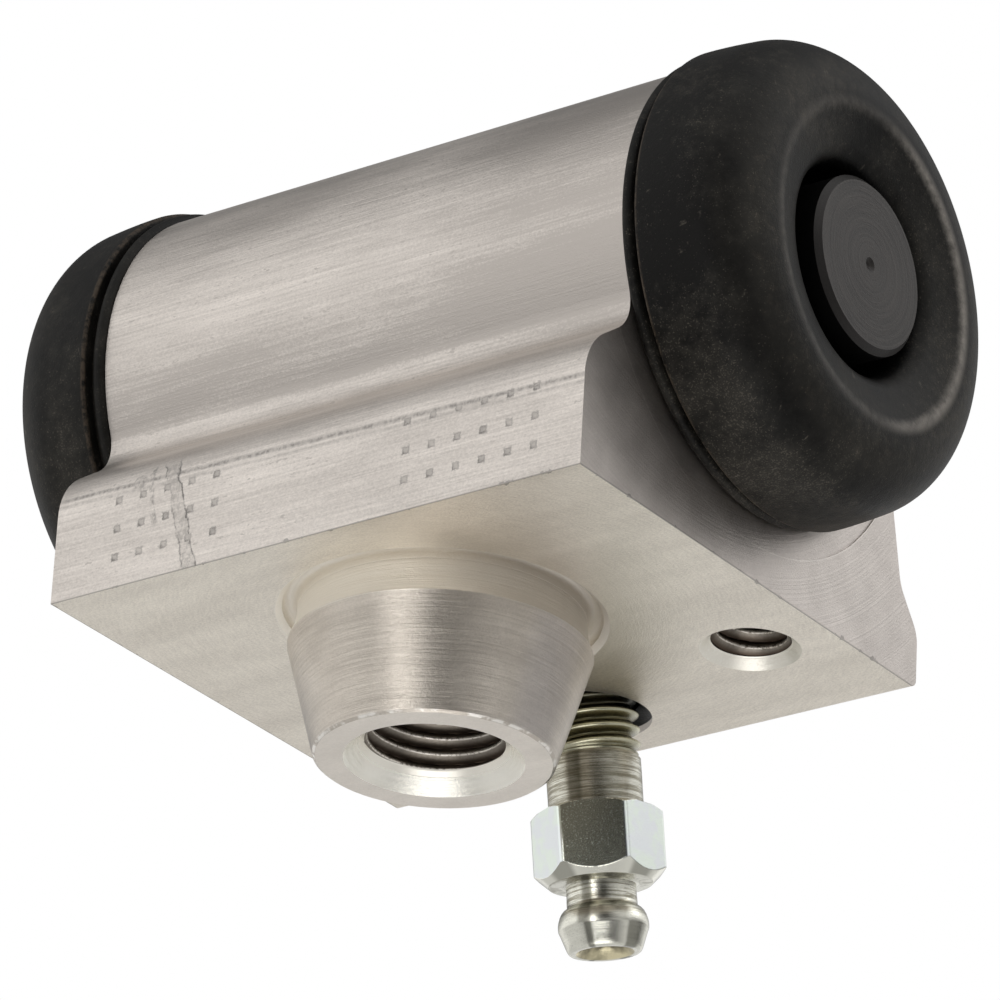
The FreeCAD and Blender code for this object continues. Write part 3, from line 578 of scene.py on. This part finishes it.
def plainMetal(name, color):
    # 85 to 100 percent of the colour, by a fine noise
    s = Shade(name)
    fine = s.noise(6.0, (1, 1, 1), 3.0, 0.6)
    color = s.mixed(fine, tuple(c * 0.85 for c in color), color)
    return s.finish(color, hiddenLook["metalRoughness"], 1.0, s.bump(fine, 0.008))


def sealRubber():
    # dark to pale by a fine noise
    s = Shade("sealRubber")
    fine = s.noise(5.0, (1, 1, 1), 3.0, 0.6)
    color = s.mixed(fine, hiddenLook["sealDark"], hiddenLook["sealPale"])
    return s.finish(color, hiddenLook["sealRoughness"], 0.0, s.bump(fine, 0.01))


# meshes from grids

def gridFaces(rows, columns, wrapRows):
    # four-sided faces between neighbours of a rows by columns grid, closed round each row
    r = np.arange(rows if wrapRows else rows - 1)[:, None]
    c = np.arange(columns)[None, :]
    r2, c2 = (r + 1) % rows, (c + 1) % columns
    quads = np.stack([r * columns + c, r * columns + c2, r2 * columns + c2, r2 * columns + c], -1)
    return quads.reshape(-1, 4).tolist()


def addGrid(name, points, wrapRows=False, capEnds=False, flip=False, smoothAngle=35):
    # a mesh from rows x columns points in millimetres
    rows, columns = points.shape[:2]
    faces = gridFaces(rows, columns, wrapRows)
    if capEnds:
        faces.append(list(range(columns))[::-1])
        faces.append([(rows - 1) * columns + i for i in range(columns)])
    if flip:
        faces = [face[::-1] for face in faces]
    mesh = bpy.data.meshes.new(name)
    mesh.from_pydata((points.reshape(-1, 3) * mm).tolist(), [], faces)
    mesh.validate()
    mesh.shade_smooth()
    mesh.set_sharp_from_angle(angle=math.radians(smoothAngle))
    obj = bpy.data.objects.new(name, mesh)
    bpy.context.collection.objects.link(obj)
    return obj


def ovalArc(centre, halfX, halfR, start, end, count):
    # points of an ellipse, angle 0 at the top of r and 90 at the outermost x
    a = np.radians(np.linspace(start, end, count))
    return np.stack([centre[0] + halfX * np.sin(a), centre[1] + halfR * np.cos(a)], 1)


def dense(points, step):
    # the same outline with points no further apart than step
    points = np.asarray(points, float)
    out = []
    for a, b in zip(points[:-1], points[1:]):
        n = max(1, int(math.ceil(np.hypot(*(b - a)) / step)))
        out.append(a + (b - a) * np.linspace(0, 1, n, endpoint=False)[:, None])
    out.append(points[-1:])
    return np.vstack(out)


def turnedAboutBore(name, profile, side):
    # closed profile of (x, radius) carried round the bore's axis; side -1 mirrors it
    a = np.linspace(0, turn, boot["columns"], endpoint=False)[None, :]
    x, r = profile[:, :1], profile[:, 1:]
    points = np.stack([side * (x + 0 * a), boreY + r * np.cos(a), boreZ + r * np.sin(a)], -1)
    obj = addGrid(name, points, wrapRows=True, flip=side > 0)
    rest = obj.data.attributes.new("rest", "FLOAT_VECTOR", "POINT")
    rest.data.foreach_set("vector", (points * mm).astype(np.float32).ravel())
    return obj


# dust boots: an outer shell from the bead to the crown, and a funnel from the crown to the piston
boot = dict(seat=16.4, neck=12.15, bead=12.75, beadWidth=1.1, neckInner=10.6, rimStart=18.95, rimEnd=19.75,
            rimRadius=13.85, rimSwell=0.4, rimSink=0.1, groove=13.5, lip=20.1, lipRadius=14.5, lipRounding=0.2,
            wall=1.3, wallPower=1.6, crownCentre=(22.97, 10.0), crownHalfX=4.19, crownHalfR=4.33,
            shoulderDegrees=8, ridgeRoll=2.0, funnelDegrees=18, throatStart=7.4, throatRoll=1.5,
            throatDegrees=84, throat=6.35, lipGroove=19.45, lipGrooveEnd=20.95, lipFloor=4.65, lipTop=6.55,
            columns=256)


def rolledOn(start, radius, first, last, count):
    # points of a roll that begins at start leaning first degrees and ends at last degrees
    a, a0 = np.radians(np.linspace(first, last, count)), math.radians(first)
    back, inwards = math.cos(a0) - np.cos(a), np.sin(a) - math.sin(a0)
    return np.array(start) - radius * np.stack([back, inwards], 1)


def addBoot(sideName, side):
    # two closed outlines carried round the bore: bead, rim, groove, lip, wall and crown with the inside back
    # to the bead, and the funnel from the crown's ridge down its throat to the lip on the piston
    b = boot
    centre, halfX, halfR = b["crownCentre"], b["crownHalfX"], b["crownHalfR"]
    rimFoot = b["rimRadius"] - b["rimSink"]
    bead = [(b["seat"], b["neckInner"]), (b["seat"], b["bead"]), (b["seat"] + b["beadWidth"], b["bead"]),
            (b["seat"] + b["beadWidth"], b["neck"]), (b["rimStart"], b["neck"]), (b["rimStart"], rimFoot)]
    rimHalf = (b["rimEnd"] - b["rimStart"]) / 2
    rim = ovalArc((b["rimStart"] + rimHalf, rimFoot), rimHalf, b["rimSwell"] + b["rimSink"], -88, 88, 15)
    lipRound = b["lipRounding"]
    slot = [(b["rimEnd"], rimFoot), (b["rimEnd"], b["groove"] + 0.15), (b["rimEnd"] + 0.15, b["groove"]),
            (b["lip"] - 0.08, b["groove"]), (b["lip"], b["groove"] + 0.1),
            (b["lip"], b["lipRadius"] - lipRound)]
    corner = ovalArc((b["lip"] + lipRound, b["lipRadius"] - lipRound), lipRound, lipRound, -85, 0, 7)
    shoulder = ovalArc(centre, halfX, halfR, b["shoulderDegrees"], b["shoulderDegrees"], 1)[0]
    t = np.linspace(0, 1, 10)[1:-1]
    wall = np.stack([corner[-1][0] + (shoulder[0] - corner[-1][0]) * t,
                     b["lipRadius"] + (shoulder[1] - b["lipRadius"]) * t ** b["wallPower"]], 1)
    crown = ovalArc(centre, halfX, halfR, b["shoulderDegrees"], 90, 40)
    inside = ovalArc(centre, halfX - b["wall"], halfR - b["wall"], 90, 0, 24)
    back = [(b["lip"] + b["wall"] + 0.4, inside[-1][1]), (b["lip"] + b["wall"], b["neckInner"] + 0.8),
            (b["lip"], b["neckInner"])]
    shell = np.vstack([dense(bead, 0.5), rim, dense(slot, 0.5), corner, wall, crown, inside, dense(back, 0.6)])
    shellPiece = turnedAboutBore(f"{sideName}BootShell", shell, side)

    ridge = (centre[0] + halfX, centre[1])
    rollIn = rolledOn(ridge, b["ridgeRoll"], 0, b["funnelDegrees"], 10)
    drop = (rollIn[-1][1] - b["throatStart"]) * math.tan(math.radians(b["funnelDegrees"]))
    coneEnd = (rollIn[-1][0] - drop, b["throatStart"])
    rollDown = rolledOn(coneEnd, b["throatRoll"], b["funnelDegrees"], b["throatDegrees"], 16)
    end = b["lipGrooveEnd"]
    throatX, throatR = rollDown[-1]
    rest = [(throatX, throatR), (end + 0.4, b["throat"]), (end, b["throat"] - 0.4), (end, b["lipFloor"]),
            (b["lipGroove"], b["lipFloor"]), (b["lipGroove"], b["lipTop"]),
            (b["lipGroove"] + 0.9, b["throat"] + b["wall"]), (throatX, throatR + b["wall"]),
            (ridge[0] - b["wall"] - 0.13, (throatR + b["wall"] + ridge[1]) / 2),
            (ridge[0] - b["wall"], ridge[1])]
    funnel = np.vstack([rollIn[:-1], dense([rollIn[-1], coneEnd], 0.25)[:-1], rollDown[:-1], dense(rest, 0.6)])
    funnelPiece = turnedAboutBore(f"{sideName}BootFunnel", funnel, side)
    return shellPiece, funnelPiece


# the bleeder screw: s is measured outwards from the mounting face along its leaning axis, and an outline is
# a list of (s, radius)
screw = dict(columns=240, crest=2.95, root=2.42, pitch=0.93, threadStart=-6.3, threadEnd=2.85, threadRows=260,
             toothPower=1.2, runOut=0.5, runOutDepth=0.12, shank=2.87, hexStart=6.29, hexEnd=9.92,
             acrossFlats=7.0, hexCorner=3.99, topRadius=3.60, topSlope=0.9 / math.tan(math.radians(28)),
             lowRadius=4.04, collar=3.15, collarEnd=10.75,
             shankOutline=[(2.95, 2.70), (3.09, 2.72), (3.15, 2.87), (4.0, 2.88), (5.2, 2.87), (6.0, 2.87),
                           (6.29, 2.87)],
             stemOutline=[(10.78, 3.05), (10.78, 2.4), (10.80, 2.22), (10.86, 2.12), (11.3, 2.1), (11.9, 2.12),
                          (12.1, 2.12)],
             barbOutline=[(12.2, 2.16), (12.27, 2.26), (12.36, 2.38), (12.5, 2.50), (12.7, 2.60), (12.95, 2.68),
                          (13.15, 2.72), (13.35, 2.73), (13.5, 2.72), (13.6, 2.69), (13.68, 2.65)],
             endOutline=[(14.5, 2.36), (14.72, 2.28), (14.85, 2.2), (14.91, 2.12), (14.93, 2.0), (14.93, 1.78)],
             boreOutline=[(14.9, 1.7), (14.5, 1.32), (14.3, 1.15), (14.0, 1.1), (6.0, 1.1)],
             tipOutline=[(-6.31, 2.4), (-6.5, 2.1), (-8.0, 2.1), (-9.5, 2.1), (-10.9, 0.8)])
turnJoint = joints["bleeder_turn"]
screwPlace = np.array(turnJoint["pos_m"]) / mm
screwAxis = np.array(turnJoint["axis"]) / np.linalg.norm(turnJoint["axis"])


def alongScrew(s, r, angle):
    # point at distance s along the axis, r from it, angle from the x direction
    across = np.array([1.0, 0, 0])
    other = np.cross(screwAxis, across)
    return (screwPlace + s[..., None] * screwAxis + (r * np.cos(angle))[..., None] * across
            + (r * np.sin(angle))[..., None] * other)


def addBleeder():
    # r(angle, s): outlines turned round the axis, except the thread, whose radius goes from root to crest
    # with s / pitch - angle, and the hexagon, half its width over cos(angle from the flat's middle)
    b = screw
    angle = np.linspace(0, turn, b["columns"], endpoint=False)[None, :]
    rowsS, rowsR = [], []

    def addRows(s, r):
        rowsS.append(s + 0 * angle)
        rowsR.append(r + 0 * angle)

    def addOutlines(*names):
        points = np.array(sum((b[name] for name in names), []))
        addRows(points[:, :1], points[:, 1:])

    # thread, running out towards the shank
    s = np.linspace(b["threadStart"], b["threadEnd"], b["threadRows"])[:, None]
    phase = (s / b["pitch"] - angle / turn) % 1.0
    tooth = (0.5 - 0.5 * np.cos(phase * turn)) ** b["toothPower"]
    fade = np.clip((b["threadEnd"] - s) / b["runOut"], 0, 1) ** 0.5
    low = b["root"] + (b["shank"] - b["runOutDepth"] - b["root"]) * (1 - fade)
    addRows(s, low + (b["crest"] - low) * tooth * (0.35 + 0.65 * fade))
    addOutlines("shankOutline")
    # hexagon, cut by a cone at its top and a longer one down to the collar
    flat = angle - np.radians(60) * np.round(angle / np.radians(60))
    hexagon = np.minimum(b["acrossFlats"] / 2 / np.cos(flat), b["hexCorner"])
    s = np.concatenate([np.linspace(b["hexStart"], b["hexStart"] + 0.3, 12),
                        np.linspace(b["hexStart"] + 0.4, b["hexEnd"] - 0.35, 8),
                        np.linspace(b["hexEnd"] - 0.3, b["collarEnd"], 36)])[:, None]
    top = b["topRadius"] + (s - b["hexStart"]) * b["topSlope"]
    slope = (b["lowRadius"] - b["collar"]) / (b["collarEnd"] - b["hexEnd"])
    addRows(s, np.minimum(hexagon, np.minimum(top, b["lowRadius"] - (s - b["hexEnd"]) * slope)))
    addOutlines("stemOutline", "barbOutline", "endOutline", "boreOutline")
    s, r = np.vstack(rowsS), np.vstack(rowsR)
    body = addGrid("bleederBody", alongScrew(s, r, angle + 0 * s), capEnds=True, smoothAngle=32)

    # the buried cone tip, seated in the body
    rowsS, rowsR = [], []
    addOutlines("tipOutline")
    s, r = np.vstack(rowsS), np.vstack(rowsR)
    tip = addGrid("bleederTip", alongScrew(s, r, angle + 0 * s), capEnds=True, flip=True)
    return body, tip


# internal threads: ridges that stand in from the wall of a tapped hole, in millimetres but for the tooth's
# steepness, its width at the crest and its rounding
tapped = dict(rowsPerPitch=22, steepness=2.3, crestWidth=1.12, rounding=0.25, fadeIn=0.35, fadeOut=0.8,
              proud=0.005, buried=0.05)


def addInnerThread(name, hole, side):
    # radius = wall less depth times a rounded tooth of (z / pitch - angle), fading out at both ends, behind
    # a 45 degree cone that carries the countersink on by lead. side -1 puts it at -x, with the same hand
    b, low, high = tapped, hole["low"], hole["high"]
    angle = np.linspace(0, turn, hole["columns"], endpoint=False)[None, :]
    z = np.linspace(low, high, int((high - low) / hole["pitch"] * b["rowsPerPitch"]))[:, None]
    phase = ((z - low) / hole["pitch"] - angle / turn + hole["start"]) % 1.0
    tooth = np.clip(b["crestWidth"] - np.abs(phase - 0.5) * b["steepness"], 0, 1)
    tooth = np.minimum(tooth, 1 - (1 - tooth) ** 2 * b["rounding"])
    fade = np.clip((z - low) / b["fadeIn"], 0, 1) * np.clip((high - z) / b["fadeOut"], 0, 1)
    ridge = np.where(z - low < hole["lead"], z - low, hole["depth"] * tooth * fade)
    inner = hole["wall"] - b["proud"] - ridge
    outer = hole["wall"] + b["buried"] + 0 * phase
    r = np.vstack([inner, outer[::-1]])
    z = np.vstack([z + 0 * angle, z[::-1] + 0 * angle])
    x, y = side * hole["centre"][0], hole["centre"][1]
    points = np.stack([x + r * np.cos(angle), y + r * np.sin(angle), z], -1)
    return addGrid(name, points, wrapRows=True, flip=True, smoothAngle=60)


# the return spring, built in two halves from its middle
spring = dict(radius=4.6, wire=0.45, length=8.7, turns=4.0, blendEnd=4.8, rows=180, columns=20)


def addSpringHalf(name, side):
    # half of it, from its middle outwards: a circle of wire carried along a helix
    turns = np.linspace(0, spring["turns"] / 2, spring["rows"])[:, None]
    around = np.linspace(0, turn, spring["columns"], endpoint=False)[None, :]
    rise = spring["length"] / spring["turns"]
    lean = math.atan2(rise, turn * spring["radius"])
    along = np.sin(around) * spring["wire"]
    r = spring["radius"] + np.cos(around) * spring["wire"]
    angle = side * (turns * turn - along * math.sin(lean) / spring["radius"])
    points = np.stack([side * (turns * rise + along * math.cos(lean)) + 0 * r, boreY + r * np.cos(angle),
                       boreZ + r * np.sin(angle)], -1)
    return addGrid(name, points, capEnds=True)


# build

addCamera()
bpy.context.scene.view_settings.view_transform = "Standard"

bodyMetal = bodyAluminium()
rubber = bootRubber()
pistonMetal = pistonDark()
zinc = zincPlate()
springMetal = plainMetal("springSteel", hiddenLook["spring"])
expanderMetal = plainMetal("expanderSteel", hiddenLook["expander"])
seal = sealRubber()
inletMetal = threadSteel("inletThreadSteel", inletHole)
holeMetal = threadSteel("holeThreadSteel", screwHole)
print("finishes made")

dress(nodes["cylinder_body"], bodyMetal)
for sideName, side in (("left", -1), ("right", 1)):
    body = f"{sideName}_piston"
    dress(nodes[body], pistonMetal)
    dress(nodes[f"{sideName}_cup_seal"], seal)
    dress(nodes[f"{sideName}_cup_expander"], expanderMetal)
    # the two pieces of a boot meet at the crown; start and end run from each piece's far end to its mirror
    # across the crown
    shell, funnel = addBoot(sideName, side)
    middle, inner, outer = boot["crownCentre"][0] + boot["crownHalfX"], boot["lipGrooveEnd"], boot["lip"]
    for piece, start, end in ((shell, outer, 2 * middle - outer), (funnel, 2 * middle - inner, inner)):
        dress(piece, rubber)
        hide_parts(f"{sideName}_dust_boot")
        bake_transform(piece)
    half = addSpringHalf(f"{sideName}Spring", side)
    dress(half, springMetal)
    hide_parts("return_spring")
    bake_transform(half)
print("boots and spring built")

for piece in addBleeder():
    dress(piece, zinc)
    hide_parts("bleeder_screw")
    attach(piece, "bleeder")
print("bleeder built")

for name, hole, side, metal in (("inletThread", inletHole, 1, inletMetal),
                                ("leftScrewThread", screwHole, -1, holeMetal),
                                ("rightScrewThread", screwHole, 1, holeMetal)):
    piece = addInnerThread(name, hole, side)
    dress(piece, metal)
    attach(piece, "cylinder")
print("threads built")


# floor, world and lamps, in metres

floorLook = dict(halfSize=3.0, height=-0.30, pale=0.86, dark=0.03, darkPlace=(0.36, -0.48), darkReach=0.30,
                 paleReach=0.75, roughness=0.8)


def addFloor():
    # evenly pale to the camera; what the part mirrors of it goes from dark to pale with the distance from a
    # place below the camera
    look = floorLook
    size, z = look["halfSize"], look["height"]
    corners = [(-size, -size, z), (size, -size, z), (size, size, z), (-size, size, z)]
    mesh = bpy.data.meshes.new("floor")
    mesh.from_pydata(corners, [], [(0, 1, 2, 3)])
    floor = bpy.data.objects.new("floor", mesh)
    bpy.context.collection.objects.link(floor)
    s = Shade("floorPale")
    away = s.add("ShaderNodeVectorMath", s.object, (*look["darkPlace"], z), operation="DISTANCE")
    mirrored = s.ramp(away.outputs["Value"], look["darkReach"], look["paleReach"], look["dark"], look["pale"])
    camera = s.add("ShaderNodeLightPath").outputs["Is Camera Ray"]
    s.feed(s.surface.inputs["Base Color"], s.math("MAXIMUM", mirrored, s.times(camera, look["pale"])))
    s.surface.inputs["Roughness"].default_value = look["roughness"]
    dress(floor, s.material)


# soft dark patches of the room, such as the camera's side of it and the ceiling: wide and narrow are the
# angles where a patch begins and is full. flat above 1 presses it into a level band, and below 1 it is upright
patches = [dict(towards=(0.56, -0.83, 0.02), flat=0.5, wide=27, narrow=12, depth=0.93),
           dict(towards=(-0.17, -0.98, 0.00), flat=0.5, wide=13, narrow=6, depth=0.60),
           dict(towards=(0.82, -0.57, -0.06), flat=1.0, wide=36, narrow=14, depth=0.52),
           dict(towards=(0.74, 0.67, 0.00), flat=2.5, wide=56, narrow=28, depth=0.72),
           dict(towards=(-0.50, 0.45, 0.75), flat=1.0, wide=56, narrow=12, depth=0.80)]


def addWorld():
    # white to the camera; to everything else a bright room, 1 times (1 - depth) within each patch
    world = bpy.data.worlds.new("studio")
    bpy.context.scene.world = world
    world.use_nodes = True
    w = Nodes(world.node_tree)
    background = w.tree.nodes["Background"]
    background.inputs["Color"].default_value = (1, 1, 1, 1)
    ray = w.add("ShaderNodeTexCoord").outputs["Generated"]
    level = 1.0
    for patch in patches:
        pressed = w.add("ShaderNodeVectorMath", ray, (1, 1, patch["flat"]), operation="MULTIPLY").outputs[0]
        pressed = w.add("ShaderNodeVectorMath", pressed, operation="NORMALIZE").outputs[0]
        middle = Vector(patch["towards"]).normalized()
        near = w.add("ShaderNodeVectorMath", pressed, middle, operation="DOT_PRODUCT").outputs["Value"]
        edges = (math.cos(math.radians(patch[key])) for key in ("wide", "narrow"))
        level = w.times(level, w.ramp(near, *edges, 1.0, 1.0 - patch["depth"]))
    camera = w.add("ShaderNodeLightPath").outputs["Is Camera Ray"]
    w.feed(background.inputs["Strength"], w.math("MAXIMUM", level, camera))


# size is a disk's diameter, or the width and height of an upright oblong
lamps = [dict(name="keyLamp", place=(0.068, -0.49, -0.10), size=(0.07, 0.32), power=0.35),
         dict(name="lowLamp", place=(0.07, -0.10, -0.26), size=(0.26,), power=0.27),
         dict(name="backLamp", place=(0.35, 0.30, 0.35), size=(0.25,), power=0.15)]


def addLamp(name, place, size, power):
    # a lamp that looks at the middle of the part
    data = bpy.data.lights.new(name, "AREA")
    data.shape = "RECTANGLE" if len(size) == 2 else "DISK"
    data.size = size[0]
    data.size_y = size[-1]
    data.energy = power
    lamp = bpy.data.objects.new(name, data)
    bpy.context.collection.objects.link(lamp)
    lamp.location = place
    lamp.rotation_euler = (Vector((0, 0, 0.01)) - Vector(place)).to_track_quat("-Z", "Y").to_euler()


addFloor()
addWorld()
for lamp in lamps:
    addLamp(**lamp)
print("stage set")
